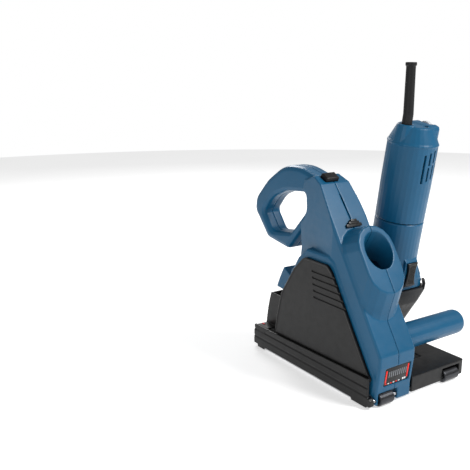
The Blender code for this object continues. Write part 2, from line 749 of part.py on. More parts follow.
def hood_joins(side):
    drum = drum_outline()
    if side < 0:
        layers = [(0.0, -20.0), (0.0, DRUM_LEFT + 2.6), (1.2, DRUM_LEFT + 0.9), (3.4, DRUM_LEFT)]
        rim = loft([[lift("x", a, b, x) for a, b in inset(drum, depth)] for depth, x in layers])
    else:
        rim = loft([[lift("x", a, b, x) for a, b in inset(drum, depth)]
                    for depth, x in ((0.0, 10.0), (0.0, HOOD_RIGHT - 2.0), (2.0, HOOD_RIGHT))])
    return [rim, handle_ring(), outlet_boss(), rear_block()]


def grip_seat():
    return cylinder("x", (GRIP_Y, GRIP_Z), 17.0, 20.0, HOOD_RIGHT + 0.6, 24)


def button_pocket():
    """The well for the release button at the top of the slope."""
    outline = [(-14.4, -7.4), (9.9, -7.4), (9.9, 7.4), (-14.4, 7.4)]
    return loft([[brow_point(x, along, out) for x, along in outline] for out in (-11.5, 12.0)])


def hood_cuts():
    clear = AXLE_RADIUS + RUNNING_GAP
    slot = slope_box(0.8, 136.0, 190.0, -9.0, 4.0)
    channel = slope_box(9.0, 132.0, 184.0, -17.0, -4.0)
    window = box((-22.4, -20.0, 28.0), (26.4, 20.0, 55.4))
    bay = box((-30.0, -30.0, -8.0), (6.0, 9.0, 17.5))
    wheel = cylinder("x", (PIVOT_Y, PIVOT_Z), ROLLER_RADIUS + 1.4, -30.0, 6.0, 16)
    axle = cylinder("x", (PIVOT_Y, PIVOT_Z), clear, -60.0, 60.0, 16)
    neck = cylinder("x", (SPINDLE_Y, SPINDLE_Z), 21.0, 25.0, 60.0, 24)
    bolt = cylinder("x", (GRIP_Y, GRIP_Z), 5.6, 10.0, 60.0, 12, 0.13)
    step = [(0, -12.0), (2.4, -12.0), (2.4, 11.0), (4.6, 11.0), (4.6, 60.0), (0, 60.0)]
    holes = merge([turned("x", place, step, 12, 0.17) for place in hood_screw_places()])
    return [aperture_tool(), outlet_bore(), slot, channel, button_pocket(), window, bay, wheel,
            axle, neck, bolt, holes]


def build_hood_shells():
    body = body_outline()
    limits = {"hood_left_shell": (-1, HOOD_LEFT, 10.0), "hood_right_shell": (1, HOOD_RIGHT, -10.0)}
    for name, (side, outer, inner) in limits.items():
        shell = add_piece(name, chamfered("x", body, inner, outer, 2.5), HOOD, "blue_plastic", HINGE)
        combine(shell, "DIFFERENCE", [add_tool(name + "_taper", taper_tool(side), HOOD)])
        joins = hood_joins(side) + ([grip_seat()] if side > 0 else [])
        combine(shell, "UNION", [add_tool("%s_join_%d" % (name, index), shape, HOOD)
                                 for index, shape in enumerate(joins)])
        hollows = [add_tool(name + "_chamber", chamber(), HOOD), add_tool(name + "_neck", neck_room(), HOOD),
                   handle_room(name + "_handle")]
        combine(shell, "DIFFERENCE", hollows)
        combine(shell, "UNION", [add_tool(name + "_posts", screw_posts(), HOOD)])
        other = half_space((side * PARTING_GAP, 0, 0), (-side, 0, 0), 700.0)
        cuts = hood_cuts() + [other]
        combine(shell, "DIFFERENCE", [add_tool("%s_cut_%d" % (name, index), shape, HOOD)
                                      for index, shape in enumerate(cuts)])


def build_hood_screws():
    for index, place in enumerate(hood_screw_places()):
        profile = [(0, -11.0), (2.0, -11.0), (2.0, 11.3), (4.1, 11.3), (4.1, 14.6), (0, 14.6)]
        name = "hood_screw_%d" % (index + 1)
        add_piece(name, turned("x", place, profile, 12), HOOD, "steel", (0, *place))


def build_sight_plate():
    """The black plate with the cutting-width marks, in the front window."""
    plate = box((-22.0, -7.6, 28.4), (26.0, -5.0, 55.0))
    middle = Vector((2.0, -6.3, 41.7))
    lean = Matrix.Rotation(FACE_LEAN, 4, "X")
    turn = Matrix.Translation(middle) @ lean @ Matrix.Translation(-middle)
    bmesh.ops.transform(plate, matrix=turn, verts=plate.verts)
    add_piece("front_sight_plate", plate, HOOD, "black_plastic", HINGE)


def build_grip():
    inner = 5.6
    start = HOOD_RIGHT + 1.0
    profile = [(inner, start), (GRIP_RADIUS, start), (GRIP_RADIUS, 60.0), (GRIP_RADIUS - 0.3, 120.0),
               (GRIP_RADIUS - 0.6, GRIP_END - 7.0), (GRIP_RADIUS - 1.6, GRIP_END - 3.6),
               (GRIP_RADIUS - 4.0, GRIP_END - 1.2), (GRIP_RADIUS - 8.0, GRIP_END), (inner, GRIP_END)]
    add_piece("aux_handle", turned("x", (GRIP_Y, GRIP_Z), profile, 24), HOOD, "blue_plastic", HINGE)
    bolt = [(0, 24.0), (5.0, 24.0), (5.0, GRIP_END - 3.0), (0, GRIP_END - 3.0)]
    add_piece("aux_handle_bolt", turned("x", (GRIP_Y, GRIP_Z), bolt, 12), HOOD, "steel", HINGE)


def build_release_button():
    outline = [(-14.0, -7.0), (9.5, -7.0), (9.5, 7.0), (-14.0, 7.0)]
    layers = [(0.0, -7.5), (0.0, 2.4), (1.2, 3.6)]
    shape = loft([[brow_point(x, along, out) for x, along in inset(outline, depth)] for depth, out in layers])
    add_piece("release_button", shape, HOOD, "black_plastic", brow_point(0, 0, 0))


def build_depth_slider():
    """A stepped slider whose stem runs in the slot along the hood's ridge."""
    tiers = [(14.0, 137.0, 141.6, 0.4, 3.2), (9.5, 140.8, 144.6, 0.4, 4.4), (5.5, 143.8, 147.4, 0.4, 5.4)]
    shape = slope_box(14.0, 137.0, 141.6, 0.4, 3.2)
    slider = add_piece("depth_slider", shape, HOOD, "black_plastic", slope_point(0, 142.0, 0))
    joins = [slope_box(half, start, end, low, high) for half, start, end, low, high in tiers[1:]]
    joins += [slope_box(0.5, 138.0, 146.0, -6.5, 1.0), slope_box(6.0, 138.0, 146.0, -8.5, -6.0)]
    tools = [add_tool("slider_join_%d" % index, join, HOOD) for index, join in enumerate(joins)]
    combine(slider, "UNION", tools)


# ---------------------------------------------------------------- gear head (in the hood frame)

def gear_column():
    """The casting's upper part, which widens upwards from the barrel to the motor flange."""
    wide = FLANGE_HALF
    sections = [(-20.0, 14.0, 9.0, -28.0, 17.0, 8, -25.0), (-24.0, 20.0, 14.0, -34.0, 22.0, 9, -19.0),
                (-27.0, 24.4, 18.5, -36.4, 25.0, 10, -9.0), (-30.0, 30.0, 28.0, -39.0, 29.0, 11, 4.0),
                (-36.0, 35.5, 35.5, -42.0, 36.0, 13, 15.3), (-wide, wide, wide, -wide, wide, 11, 31.0),
                (-wide, wide, wide, -wide, wide, 11, 38.7)]
    loops = []
    for left, right_front, right_back, front, back, radius, s in sections:
        corners = [(left, front, radius), (right_front, front, radius), (right_back, back, radius),
                   (left, back, radius)]
        loops.append([(x, y, s) for x, y in rounded(corners, 3)])
    return loft(loops)


def flange_ear():
    """A lug that stands beside the motor collar on the flange's right front corner."""
    outline = [
        (52.6, 34.0), (56.2, 34.0), (56.2, 45.5), (54.0, 48.5),
        (50.4, 48.5), (50.4, 45.0), (52.6, 45.0),
    ]
    ear = prism("y", outline, -7.0, 7.0)
    bmesh.ops.rotate(ear, cent=(0, 0, 0), matrix=Matrix.Rotation(-math.pi / 4, 3, "Z"), verts=ear.verts)
    return ear


def build_gear_head():
    """Cast housing: a barrel round the spindle, a neck to the hood and a square motor flange."""
    seat = (SPINDLE_Y, SPINDLE_Z)
    barrel = [(0, 50.0), (27.0, 50.0), (30.5, 56.0), (30.5, 111.0), (22.0, 121.0), (0, 121.0)]
    housing = add_piece("gear_housing", turned("x", seat, barrel, 24), HOOD, "cast_metal", HINGE)
    stub = [(0, 40.4), (24.0, 40.4), (24.0, 52.0), (0, 52.0)]
    neck = add_tool("gear_neck", turned("x", seat, stub, 20), HOOD)
    upper = [add_tool("gear_column", gear_column(), MOTOR), add_tool("flange_ear", flange_ear(), MOTOR)]
    combine(housing, "UNION", [neck] + upper)
    gear_room = turned("x", seat, [(0, 60.0), (25.5, 60.0), (25.5, 106.2), (0, 106.2)], 20, 0.07)
    way = [(0, 30.0), (16.5, 30.0), (16.5, 58.0), (9.2, 58.0), (9.2, 60.5), (0, 60.5)]
    spindle_way = turned("x", seat, way, 20, 0.03)
    far_seat = cylinder("x", seat, 9.5, 103.0, 116.0, 18, 0.11)
    pinion_room = turned("z", (0, 0), [(0, 4.0), (9.3, 4.0), (9.3, 29.0), (11.6, 29.0), (11.6, 37.4),
                                       (26.0, 37.4), (26.0, 45.0), (0, 45.0)], 20, 0.02)
    screws = merge([cylinder("z", place, 2.4, 26.0, 60.0, 8) for place in gear_screw_places()])
    lock = cylinder("y", (LOCK_X, SPINDLE_Z), 4.4, SPINDLE_Y + 18.0, SPINDLE_Y + 60.0, 14, 0.09)
    rooms = [("gear_room", gear_room), ("spindle_way", spindle_way), ("far_seat", far_seat),
             ("lock_hole", lock)]
    cuts = [add_tool(name, shape, HOOD) for name, shape in rooms]
    cuts += [add_tool("pinion_room", pinion_room, MOTOR), add_tool("gear_screw_holes", screws, MOTOR)]
    combine(housing, "DIFFERENCE", cuts)


def gear_screw_places():
    return [(x, y) for x in (-GEAR_SCREW, GEAR_SCREW) for y in (-GEAR_SCREW, GEAR_SCREW)]


def build_bearing_flange():
    """The ring between the hood's right wall and the gear housing."""
    profile = [(16.3, 33.4), (29.0, 33.4), (29.0, 40.1), (16.3, 40.1)]
    add_piece("bearing_flange", turned("x", (SPINDLE_Y, SPINDLE_Z), profile, 24), HOOD, "cast_metal", HINGE)


def build_bearings():
    seat = (SPINDLE_Y, SPINDLE_Z)
    ball = tube("x", seat, 8.4, 16.0, 46.0, 57.6, 20)
    needle = tube("x", seat, 5.4, 9.0, 106.6, 114.6, 18)
    add_piece("spindle_ball_bearing", ball, HOOD, "steel", (50, *seat))
    add_piece("spindle_needle_bearing", needle, HOOD, "steel", (110, *seat))
    add_piece("pinion_bearing", tube("z", (0, 0), 4.4, 11.0, 29.4, 37.0, 16), MOTOR, "steel")
    add_piece("rear_bearing", tube("z", (0, 0), 4.4, 10.0, 196.0, 204.0, 16), MOTOR, "steel")


def build_spindle():
    seat = (SPINDLE_Y, SPINDLE_Z)
    shaft = [(0, -23.5), (6.6, -23.5), (7.0, -23.0), (7.0, -12.0), (8.0, -12.0), (8.0, 86.0), (7.0, 86.0),
             (7.0, 104.6), (5.0, 104.6), (5.0, 114.2), (0, 114.2)]
    add_piece("spindle", turned("x", seat, shaft, 20), HOOD, "steel", (0, *seat))
    flange = [(8.3, -11.7), (HUB_RADIUS, -11.7), (HUB_RADIUS, 21.4), (20.0, 21.4), (20.0, 25.4), (14.0, 27.6),
              (8.3, 27.6)]
    add_piece("mounting_flange", turned("x", seat, flange, 24), HOOD, "dark_steel", (0, *seat))
    add_piece("spacer_ring", tube("x", seat, DISC_BORE, 19.0, -9.4, 18.4, 24), HOOD, "dark_steel", (0, *seat))
    nut = [(7.3, -22.0), (12.0, -22.0), (12.0, -17.0), (20.0, -16.0), (20.0, -12.6), (7.3, -12.6)]
    add_piece("clamping_nut", turned("x", seat, nut, 24), HOOD, "dark_steel", (0, *seat))


def disc_outline():
    """A segmented rim, with gullets between the diamond segments."""
    outline = []
    centre = (SPINDLE_Y, SPINDLE_Z)
    pitch = 360.0 / SEGMENTS
    for index in range(SEGMENTS):
        start = pitch * index
        outline += arc(centre, DISC_RADIUS, start + 1.6, start + pitch - 1.6, 5)
        outline += arc(centre, DISC_RADIUS - 9.0, start + pitch - 0.8, start + pitch + 0.8, 1)
    return outline


def build_discs():
    bore = ring_points((SPINDLE_Y, SPINDLE_Z), DISC_BORE, 24)
    for name, low in (("inner_disc", 18.7), ("outer_disc", -12.1)):
        disc = add_piece(name, prism("x", disc_outline(), low, low + 2.4), HOOD, "diamond_disc",
                         (0, SPINDLE_Y, SPINDLE_Z))
        combine(disc, "DIFFERENCE", [add_tool(name + "_bore", prism("x", bore, low - 5, low + 7), HOOD)])


def bevel_gear(teeth, pitch, cone, face, thickness, bore, fill):
    """A bevel gear on +Z with its pitch circle at height 0 and its cone rising to the apex.

    cone is the pitch cone's half angle, face the tooth length towards the apex, and fill the part
    of each tooth space that a tooth takes up."""
    module = 2 * pitch / teeth
    shrink = 1.0 - face * math.sin(cone) / pitch
    lift_up = face * math.cos(cone)
    outer = []
    for index in range(teeth):
        middle = math.tau * index / teeth
        for offset, height in ((-fill / 2 - 0.06, -1.1), (-fill / 4, 0.85), (fill / 4, 0.85),
                               (fill / 2 + 0.06, -1.1)):
            outer.append((middle + offset * math.tau / teeth, height * module))
    loops = []
    for scale, level in ((1.0, 0.0), (shrink, lift_up)):
        loop = []
        for angle, height in outer:
            radius = (pitch + height * math.cos(cone)) * scale
            rise = level + height * math.sin(cone) * scale
            loop.append((radius * math.cos(angle), radius * math.sin(angle), rise))
        loops.append(loop)
    root = (pitch - 1.1 * module * math.cos(cone)) * 0.98
    back = [(root * math.cos(angle), root * math.sin(angle), -thickness) for angle, height in outer]
    hole_low = [(bore * math.cos(angle), bore * math.sin(angle), -thickness) for angle, height in outer]
    hole_high = [(bore * math.cos(angle), bore * math.sin(angle), lift_up) for angle, height in outer]
    rows = [hole_low, back, loops[0], loops[1], hole_high]
    shape = bmesh.new()
    made = [[shape.verts.new(point) for point in row] for row in rows]
    for low, high in zip(made, made[1:] + made[:1]):
        for index in range(len(outer)):
            following = (index + 1) % len(outer)
            shape.faces.new((low[index], high[index], high[following], low[following]))
    return shape


def build_gears():
    ratio = math.atan2(CROWN_PITCH, PINION_PITCH)
    crown = bevel_gear(CROWN_TEETH, CROWN_PITCH, ratio, 6.0, 5.0, 7.3, 0.36)
    place = Matrix.Translation((MOTOR_X - PINION_PITCH, SPINDLE_Y, SPINDLE_Z))
    turn = place @ Matrix.Rotation(math.pi / 2, 4, "Y")
    phase = Matrix.Rotation(math.pi / CROWN_TEETH, 4, "Z")
    lean = Matrix.Rotation(MOTOR_TILT, 4, "Z")
    bmesh.ops.transform(crown, matrix=turn @ lean @ phase, verts=crown.verts)
    add_piece("crown_gear", crown, HOOD, "dark_steel", (0, SPINDLE_Y, SPINDLE_Z))
    pinion = bevel_gear(PINION_TEETH, PINION_PITCH, math.pi / 2 - ratio, 6.0, 5.5, 4.3, 0.36)
    flip = Matrix.Translation((0, 0, CROWN_PITCH)) @ Matrix.Rotation(math.pi, 4, "Y")
    bmesh.ops.transform(pinion, matrix=flip, verts=pinion.verts)
    add_piece("drive_pinion", pinion, MOTOR, "dark_steel")


# ---------------------------------------------------------------- motor (in the motor frame)

def build_motor_housing():
    """The field housing: a tube with a flared square collar that bolts to the gear flange."""
    count = 36
    sections = [(COLLAR_HALF, COLLAR_POWER, 39.1), (COLLAR_HALF - 0.6, COLLAR_POWER, 55.0),
                (MOTOR_RADIUS + 0.5, 2, 76.0), (MOTOR_RADIUS, 2, 100.0), (MOTOR_RADIUS, 2, 142.0),
                (MOTOR_RADIUS - 1.5, 2, 142.4), (MOTOR_RADIUS - 1.5, 2, 143.5)]
    layers = [[(x, y, s) for x, y in superellipse(half, power, count)] for half, power, s in sections]
    housing = add_piece("motor_housing", loft(layers), MOTOR, "blue_plastic")
    pad = prism("x", [(-34.0, 40.0), (-39.3, 40.0), (-39.3, 85.0), (-36.0, 88.5), (-34.0, 88.5)], -12.6, 12.6)
    combine(housing, "UNION", [add_tool("switch_pad", pad, MOTOR)])
    bore = turned("z", (0, 0), [(0, 30.0), (32.0, 30.0), (32.0, 100.0), (33.0, 150.0), (0, 150.0)], count)
    step = [(0, 30.0), (2.4, 30.0), (2.4, 46.0), (5.6, 46.0), (5.6, 90.0), (0, 90.0)]
    screws = merge([turned("z", place, step, 12) for place in gear_screw_places()])
    window = box((-6.0, -42.0, SWITCH_S - 7.0), (6.0, -28.0, SWITCH_S + 11.0))
    cuts = [("motor_bore", bore), ("motor_screws", screws), ("switch_window", window)]
    combine(housing, "DIFFERENCE", [add_tool(name, shape, MOTOR) for name, shape in cuts])


def build_gear_screws():
    for index, place in enumerate(gear_screw_places()):
        profile = [(0, 27.0), (2.0, 27.0), (2.0, 46.4), (4.2, 46.4), (4.2, 49.6), (0, 49.6)]
        add_piece("gear_screw_%d" % (index + 1), turned("z", place, profile, 12), MOTOR, "steel")


def vent_slots():
    """Four slots on the front and on the back, all but the first crossed by a rib."""
    slots = []
    for index in range(4):
        x = -10.0 + 9.0 * index
        low = 206.0 + 3.0 * index
        spans = [(low, low + 42.0)] if index == 0 else [(low, low + 21.0), (low + 23.5, low + 42.0)]
        for near, far in ((-60.0, -20.0), (20.0, 60.0)):
            slots += [box((x, near, start), (x + 3.0, far, end)) for start, end in spans]
    return merge(slots)


def build_rear_cover():
    """The rear cover: a cup with vent slots, a sloped shoulder and the cord entry boss."""
    outside = [(0, 144.4), (MOTOR_RADIUS, 144.4), (MOTOR_RADIUS + 0.4, 200.0), (MOTOR_RADIUS, 257.6),
               (MOTOR_RADIUS + 0.9, 259.6), (MOTOR_RADIUS - 1.0, 262.6), (MOTOR_RADIUS - 10.0, 283.0),
               (MOTOR_RADIUS - 13.0, 284.6), (0, 284.6)]
    cover = add_piece("rear_cover", turned("z", (0, 0), outside, 32), MOTOR, "blue_plastic")
    boss = turned("z", (SLEEVE_X, 0), [(0, 262.0), (17.0, 262.0), (12.6, 286.0), (0, 286.0)], 18, 0.06)
    brow = box((2.0, -23.0, 262.0), (28.6, 23.0, 286.5))
    bmesh.ops.bevel(brow, geom=[edge for edge in brow.edges], offset=6.0, segments=2, profile=0.5,
                    affect="EDGES")
    combine(cover, "UNION", [add_tool("cord_boss", boss, MOTOR), add_tool("cover_brow", brow, MOTOR)])
    room = [(0, 140.0), (33.6, 140.0), (33.6, 262.0), (25.0, 276.0), (0, 276.0)]
    inside = turned("z", (0, 0), room, 26, 0.04)
    entry = cylinder("z", (SLEEVE_X, 0), 7.9, 264.0, 300.0, 18, 0.13)
    dial = box((17.6, -13.4, 268.0), (25.0, 13.4, 300.0))
    step = [(0, 268.0), (2.0, 268.0), (2.0, 281.0), (3.8, 281.0), (3.8, 300.0), (0, 300.0)]
    screw = turned("z", (2.0, -16.0), step, 12, 0.08)
    cuts = [("rear_cover_room", inside), ("cord_entry", entry), ("vent_slots", vent_slots()),
            ("dial_window", dial), ("cover_screw_hole", screw)]
    combine(cover, "DIFFERENCE", [add_tool(name, shape, MOTOR) for name, shape in cuts])


def build_cord_sleeve():
    """The bend protection for the cord, open right through, with a collar at its end."""
    profile = [(3.6, 265.6), (8.8, 265.6), (8.8, 268.6), (7.5, 268.6), (7.3, 300.0), (6.7, 366.0),
               (7.9, 366.6), (7.9, 370.4), (7.3, 371.2), (3.6, 371.2)]
    sleeve = turned("z", (0, 0), profile, 24)
    for vertex in sleeve.verts:
        vertex.co.x += SLEEVE_X
        above = max(0.0, vertex.co.z - 287.0)
        lean = Matrix.Rotation(-MOTOR_TILT * min(1.0, above / 60.0) * 0.9, 4, "X")
        if above > 0:
            base = Vector((vertex.co.x, 0.0, 287.0))
            vertex.co = base + lean @ (vertex.co - base)
    add_piece("cord_sleeve", sleeve, MOTOR, "rubber")


def build_rear_cover_screw():
    profile = [(0, 270.0), (1.7, 270.0), (1.7, 281.3), (3.4, 281.3), (3.4, 283.6), (0, 283.6)]
    add_piece("rear_cover_screw", turned("z", (2.0, -16.0), profile, 12), MOTOR, "steel")


def build_motor_inside():
    core = tube("z", (0, 0), 20.2, 31.2, 68.0, 128.0, 24)
    add_piece("stator_core", core, MOTOR, "laminated_iron")
    ring = tube("z", (0, 0), 10.5, 33.0, 194.0, 206.0, 24)
    carrier = add_piece("brush_carrier", ring, MOTOR, "black_plastic")
    vents = merge([cylinder("z", place, 7.0, 190.0, 210.0, 8) for place in ring_points((0, 0), 21.5, 5, 0.4)])
    combine(carrier, "DIFFERENCE", [add_tool("carrier_vents", vents, MOTOR)])
    for name, side in (("brush_front", -1), ("brush_rear", 1)):
        near = min(side * 12.5, side * 28.0)
        far = max(side * 12.5, side * 28.0)
        add_piece(name, box((-3.0, near, 168.0), (3.0, far, 178.0)), MOTOR, "carbon")
    add_piece("switch_block", box((-9.0, -31.0, 132.0), (9.0, -24.0, 160.0)), MOTOR, "black_plastic")


def build_armature():
    shaft = [(0, 18.0), (4.0, 18.0), (4.0, 206.0), (0, 206.0)]
    add_piece("armature_shaft", turned("z", (0, 0), shaft, 16), MOTOR, "steel")
    add_piece("armature_core", tube("z", (0, 0), 4.4, 19.2, 70.0, 126.0, 24), MOTOR, "laminated_iron")
    add_piece("commutator", tube("z", (0, 0), 4.4, 12.0, 162.0, 184.0, 20), MOTOR, "copper")
    fan = add_piece("cooling_fan", tube("z", (0, 0), 4.4, 30.0, 42.0, 44.0, 24), MOTOR, "grey_plastic")
    blades = [tube("z", (0, 0), 4.4, 9.0, 43.0, 54.0, 16)]
    for index in range(FAN_BLADES):
        blade = box((12.0, -0.8, 43.0), (29.0, 0.8, 54.0))
        turn = Matrix.Rotation(math.tau * (index + 0.5) / FAN_BLADES, 3, "Z")
        bmesh.ops.rotate(blade, cent=(0, 0, 0), matrix=turn, verts=blade.verts)
        blades.append(blade)
    combine(fan, "UNION", [add_tool("fan_blades", merge(blades), MOTOR)])


def build_switch_slider():
    """The slide switch on the motor's front, waisted in the middle and ribbed."""
    profile = [(-19.0, 12.5), (-10.0, 9.2), (0.0, 8.0), (10.0, 8.4), (19.0, 10.5)]
    outline = [(half, SWITCH_S + along) for along, half in profile] + \
              [(-half, SWITCH_S + along) for along, half in reversed(profile)]
    layers = [(0.0, -39.7), (0.0, -42.0), (1.0, -43.2)]
    slider = loft([[(x, y, s) for x, s in inset(outline, depth)] for depth, y in layers])
    piece = add_piece("switch_slider", slider, MOTOR, "black_plastic", (0, -40.0, SWITCH_S))
    stem = box((-5.0, -41.0, SWITCH_S - 6.0), (5.0, -33.5, SWITCH_S + 4.0))
    combine(piece, "UNION", [add_tool("switch_stem", stem, MOTOR)])


def build_lock_button():
    """The spindle lock: a sprung pin at the back of the gear housing."""
    back = SPINDLE_Y + 30.5
    profile = [(0, back - 3.5), (4.0, back - 3.5), (4.0, back + 3.6), (7.0, back + 3.6), (7.0, back + 6.0),
               (6.4, back + 7.0), (0, back + 7.0)]
    add_piece("spindle_lock_button", turned("y", (LOCK_X, SPINDLE_Z), profile, 16), HOOD, "black_plastic",
              (LOCK_X, back, SPINDLE_Z))


def build_speed_dial():
    """The thumb wheel in the rear cover's top, turning on a cross axis."""
    wheel = tube("x", (0.0, 277.0), 2.0, 12.0, 18.4, 24.2, 20)
    add_piece("speed_dial", wheel, MOTOR, "grey_plastic", (21.3, 0.0, 277.0))


clear_scene()
MATERIALS = make_materials()
HINGE = (0.0, PIVOT_Y, PIVOT_Z)
BASE = make_frame("wall_chaser", None, (-ORIGIN[0], -ORIGIN[1], -ORIGIN[2]))
HOOD = make_frame("hood_frame", BASE, (0.0, 0.0, 0.0))
MOTOR = make_frame("motor_frame", HOOD, (MOTOR_X, SPINDLE_Y, SPINDLE_Z), MOTOR_TILT)

build_base()
build_cover()
build_cover_screws()
build_sole()
build_cut_mark()
build_spring()
build_rollers()
build_axles()
build_hood_shells()
build_hood_screws()
build_sight_plate()
build_grip()
build_release_button()
build_depth_slider()
build_gear_head()
build_bearing_flange()
build_bearings()
build_spindle()
build_discs()
build_gears()
build_motor_housing()
build_gear_screws()
build_rear_cover()
build_cord_sleeve()
build_rear_cover_screw()
build_motor_inside()
build_armature()
build_switch_slider()
build_lock_button()
build_speed_dial()
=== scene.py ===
"""The wall chaser's looks: every packed sub-part gets a softened or bevelled fine mesh, small details
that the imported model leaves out, and a procedural material."""
import json
import math

import bmesh
import bpy
from mathutils import Matrix, Vector


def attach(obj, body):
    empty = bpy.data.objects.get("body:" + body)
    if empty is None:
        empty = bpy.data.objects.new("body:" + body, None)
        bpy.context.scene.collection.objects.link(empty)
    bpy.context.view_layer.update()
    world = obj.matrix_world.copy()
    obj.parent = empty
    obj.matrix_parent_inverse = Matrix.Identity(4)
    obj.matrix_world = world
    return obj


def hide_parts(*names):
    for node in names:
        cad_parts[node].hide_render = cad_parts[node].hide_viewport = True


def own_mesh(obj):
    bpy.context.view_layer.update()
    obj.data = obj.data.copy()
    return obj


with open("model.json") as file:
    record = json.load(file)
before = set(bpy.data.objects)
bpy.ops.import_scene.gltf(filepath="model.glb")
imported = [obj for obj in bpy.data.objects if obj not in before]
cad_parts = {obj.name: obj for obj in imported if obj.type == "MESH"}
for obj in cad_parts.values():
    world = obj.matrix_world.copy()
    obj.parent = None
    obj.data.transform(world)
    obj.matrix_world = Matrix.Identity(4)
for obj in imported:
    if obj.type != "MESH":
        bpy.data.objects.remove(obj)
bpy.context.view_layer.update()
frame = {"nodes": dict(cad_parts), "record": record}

# Lengths below are millimetres in the design frame: X = 0 on the hood's parting plane, Y = 0 at the
# base's front end and Z = 0 on the work surface.  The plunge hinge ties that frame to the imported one.
MM = 0.001
RECORD = frame["record"]
JOINTS = {joint["name"]: joint for joint in RECORD["behaviour"]["joints"]}
BODY_OF = {node: body for body, nodes in RECORD["behaviour"]["bodies"].items() for node in nodes}
SLOT_OF = {row["node"]: row["material_slot"] for row in RECORD["subparts"]}
HINGE = Vector((0.0, -2.0, 9.5))
ZERO = Vector(JOINTS["plunge"]["pos_m"]) / MM - HINGE
TO_FRAME = Matrix.Scale(MM, 4) @ Matrix.Translation(ZERO)

SPINDLE_Y = 123.0
SPINDLE_Z = 85.0
DISC_FACES = {"inner_disc": 18.7, "outer_disc": -12.1}
DISC_THICKNESS = 2.4
RIM_OUTER = 74.9
RIM_INNER = 67.0
RIM_SEGMENTS = 9

SPRING_Y = 233.4
SPRING_LOW = 10.2
SPRING_HIGH = 98.0
SPRING_RADIUS = 8.0
SPRING_WIRE = 1.1
SPRING_TURNS = 6

HOOD_SCREW_PLACES = ((288.5, 224.0), (152.0, 282.0), (3.0, 83.0), (157.0, 203.0))
HOOD_SCREW_FACE = 14.6
COVER_SCREW_PLACES = (("cover_screw_front", 40.0), ("cover_screw_rear", 190.0))
COVER_SCREW_Z = 24.0
COVER_SCREW_FACE = -37.3

# Heights along the motor are measured from the spindle's centre, up the tilted motor axis.
MOTOR_X = 109.0
MOTOR_TILT = math.radians(8.5)
GEAR_SCREW = 32.0
GEAR_SCREW_FACE = 49.6
REAR_SCREW_PLACE = (2.0, -16.0)
REAR_SCREW_FACE = 283.6
SWITCH_S = 65.0
SWITCH_FACE = -42.5
DIAL_X = 21.3
DIAL_S = 277.0
DIAL_GROOVES = 20
COMMUTATOR_BARS = 22
COMMUTATOR_ENDS = (160.0, 186.0)
TO_MOTOR = Matrix.Translation((MOTOR_X, SPINDLE_Y, SPINDLE_Z)) @ Matrix.Rotation(MOTOR_TILT, 4, "X")
FACE_LEAN = math.radians(7.0)
FACE_MIDDLE = Vector((2.0, -6.3, 41.7))
TO_PLATE = Matrix.Translation(FACE_MIDDLE) @ Matrix.Rotation(FACE_LEAN, 4, "X")

FLAT_LIMIT = math.radians(0.4)
BEVEL_LIMIT = math.radians(25.0)
SHARP_BEVELLED = math.radians(50)
SHARP_PLAIN = math.radians(35)


# ---------------------------------------------------------------- mesh helpers

def lift(axis, a, b, height):
    """A point from outline coordinates and a height along the named axis."""
    return {"x": (height, a, b), "y": (a, height, b), "z": (a, b, height)}[axis]


def loft(loops):
    """A closed solid through loops of equal point count."""
    shape = bmesh.new()
    rows = [[shape.verts.new(point) for point in loop] for loop in loops]
    shape.faces.new(rows[0])
    shape.faces.new(list(reversed(rows[-1])))
    for low, high in zip(rows, rows[1:]):
        for index in range(len(low)):
            following = (index + 1) % len(low)
            shape.faces.new((low[index], high[index], high[following], low[following]))
    return shape


def prism(axis, outline, low, high):
    """The outline drawn out along the axis."""
    return loft([[lift(axis, a, b, height) for a, b in outline] for height in (low, high)])


def box(low, high):
    """A straight block between two opposite corners."""
    outline = [(low[0], low[1]), (high[0], low[1]), (high[0], high[1]), (low[0], high[1])]
    return prism("z", outline, low[2], high[2])


def turned(axis, centre, profile, count):
    """A solid of revolution from (radius, height) points; radius 0 closes it on the axis."""
    shape = bmesh.new()
    rows = []
    for radius, height in profile:
        if radius == 0:
            rows.append([shape.verts.new(lift(axis, centre[0], centre[1], height))])
            continue
        angles = [math.tau * step / count for step in range(count)]
        ring = [(radius * math.cos(angle), radius * math.sin(angle)) for angle in angles]
        rows.append([shape.verts.new(lift(axis, centre[0] + a, centre[1] + b, height)) for a, b in ring])
    closed = profile[0][0] > 0
    for low, high in list(zip(rows, rows[1:])) + ([(rows[-1], rows[0])] if closed else []):
        for index in range(count):
            following = (index + 1) % count
            corners = [low[index % len(low)], high[index % len(high)],
                       high[following % len(high)], low[following % len(low)]]
            shape.faces.new(list(dict.fromkeys(corners)))
    return shape


def moved(shape, matrix):
    """The same shape, turned and shifted by the matrix."""
    bmesh.ops.transform(shape, matrix=matrix, verts=shape.verts)
    return shape


def merge(shapes):
    """Separate closed shapes in one bmesh."""
    whole = bmesh.new()
    for shape in shapes:
        mesh = bpy.data.meshes.new("merge")
        shape.to_mesh(mesh)
        shape.free()
        whole.from_mesh(mesh)
        bpy.data.meshes.remove(mesh)
    return whole


def new_object(name, mesh):
    """A mesh as an object in the scene."""
    item = bpy.data.objects.new(name, mesh)
    bpy.context.scene.collection.objects.link(item)
    return item


def from_shape(name, shape):
    """A design-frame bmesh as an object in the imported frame."""
    bmesh.ops.recalc_face_normals(shape, faces=shape.faces)
    moved(shape, TO_FRAME)
    mesh = bpy.data.meshes.new(name)
    shape.to_mesh(mesh)
    shape.free()
    return new_object(name, mesh)


def bake(item):
    """The modifiers' result becomes the item's own mesh."""
    graph = bpy.context.evaluated_depsgraph_get()
    mesh = bpy.data.meshes.new_from_object(item.evaluated_get(graph), depsgraph=graph)
    item.modifiers.clear()
    old = item.data
    item.data = mesh
    bpy.data.meshes.remove(old)


